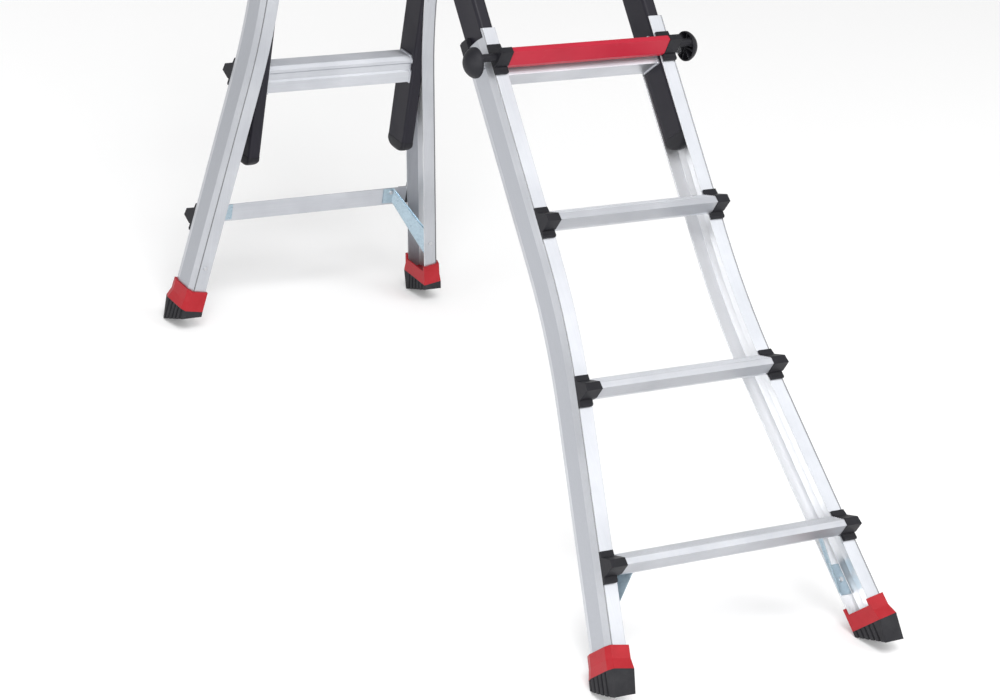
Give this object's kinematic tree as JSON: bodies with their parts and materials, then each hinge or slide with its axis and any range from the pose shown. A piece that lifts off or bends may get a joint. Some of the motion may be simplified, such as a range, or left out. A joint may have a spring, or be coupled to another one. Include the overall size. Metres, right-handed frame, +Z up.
{
  "type": "multi position ladder",
  "caption": "Telescoping multi-position ladder: two hinged halves, each an inner ladder sliding in a flared outer ladder with lock knobs, locking hinges, clipped rungs and grooved feet.",
  "frame": {"origin": "on the floor, at the middle of the ladder's depth and width", "axes": "+Z up, +X towards the climbing side of the front half, +Y along the rungs to the right of a person who faces that side"},
  "size_m": [1.5293, 0.5694, 1.4584],
  "materials": {
    "aluminium": "mill-finished extrusion",
    "rung_aluminium": "mill-finished ribbed extrusion",
    "tube_paint": "anthracite powder coat",
    "red_paint": "red powder coat",
    "red_plastic": "satin",
    "black_plastic": "fine-grained satin",
    "rubber": "matt",
    "zinc": "blue zinc plate",
    "steel": "zinc plate"
  },
  "bodies": {
    "front_inner": {"front_inner_tube_left": "tube_paint", "front_inner_tube_right": "tube_paint", "front_inner_rung_1": "rung_aluminium", "front_inner_rung_2": "rung_aluminium", "front_inner_rung_3": "rung_aluminium", "front_inner_rung_4": "rung_aluminium", "front_inner_end_caps": "black_plastic", "front_hinge_leaf_left": "steel", "front_hinge_leaf_right": "steel", "hinge_pins": "steel"},
    "front_outer": {"front_outer_rail_left": "aluminium", "front_outer_rail_right": "aluminium", "front_lock_rung": "red_paint", "front_outer_rung_2": "aluminium", "front_outer_rung_3": "aluminium", "front_outer_rung_4": "aluminium", "front_rung_clips": "black_plastic", "front_lock_housings": "black_plastic", "front_rail_guides": "black_plastic", "front_foot_collars": "red_plastic", "front_foot_soles": "rubber", "front_braces": "zinc", "front_rivets": "steel"},
    "front_lock_left": {"front_lock_knob_left": "black_plastic", "front_lock_pin_left": "steel"},
    "front_lock_right": {"front_lock_knob_right": "black_plastic", "front_lock_pin_right": "steel"},
    "rear_inner": {"rear_inner_tube_left": "tube_paint", "rear_inner_tube_right": "tube_paint", "rear_inner_rung_1": "rung_aluminium", "rear_inner_rung_2": "rung_aluminium", "rear_inner_rung_3": "rung_aluminium", "rear_inner_rung_4": "rung_aluminium", "rear_inner_end_caps": "black_plastic", "rear_hinge_leaf_left": "steel", "rear_hinge_leaf_right": "steel"},
    "rear_outer": {"rear_outer_rail_left": "aluminium", "rear_outer_rail_right": "aluminium", "rear_lock_rung": "red_paint", "rear_outer_rung_2": "aluminium", "rear_outer_rung_3": "aluminium", "rear_outer_rung_4": "aluminium", "rear_rung_clips": "black_plastic", "rear_lock_housings": "black_plastic", "rear_rail_guides": "black_plastic", "rear_foot_collars": "red_plastic", "rear_foot_soles": "rubber", "rear_braces": "zinc", "rear_rivets": "steel"},
    "rear_lock_left": {"rear_lock_knob_left": "black_plastic", "rear_lock_pin_left": "steel"},
    "rear_lock_right": {"rear_lock_knob_right": "black_plastic", "rear_lock_pin_right": "steel"},
    "hinge_lock_left": {"hinge_lock_left": "black_plastic"},
    "hinge_lock_right": {"hinge_lock_right": "black_plastic"}
  },
  "joints": [
    {"name": "ladder_hinge", "type": "hinge", "parent": "front_inner", "child": "rear_inner", "pos_m": [-0.65682, 0, 1.42203], "axis": [0, 1, 0], "range_deg": [-44, 136]},
    {"name": "front_slide", "type": "slide", "parent": "front_inner", "child": "front_outer", "axis": [-0.6857, 0, 0.7279], "range_m": [0, 0.84]},
    {"name": "rear_slide", "type": "slide", "parent": "rear_inner", "child": "rear_outer", "axis": [0.0124, 0, 0.9999], "range_m": [-0.56, 0.28]},
    {"name": "front_lock_left_slide", "type": "slide", "parent": "front_outer", "child": "front_lock_left", "axis": [0, 1, 0], "range_m": [0, 0.016]},
    {"name": "front_lock_right_slide", "type": "slide", "parent": "front_outer", "child": "front_lock_right", "axis": [0, -1, 0], "range_m": [0, 0.016]},
    {"name": "rear_lock_left_slide", "type": "slide", "parent": "rear_outer", "child": "rear_lock_left", "axis": [0, -1, 0], "range_m": [0, 0.016]},
    {"name": "rear_lock_right_slide", "type": "slide", "parent": "rear_outer", "child": "rear_lock_right", "axis": [0, 1, 0], "range_m": [0, 0.016]},
    {"name": "hinge_lock_left_slide", "type": "slide", "parent": "front_inner", "child": "hinge_lock_left", "axis": [0, 1, 0], "range_m": [0, 0.014]},
    {"name": "hinge_lock_right_slide", "type": "slide", "parent": "front_inner", "child": "hinge_lock_right", "axis": [0, -1, 0], "range_m": [0, 0.014]}
  ]
}
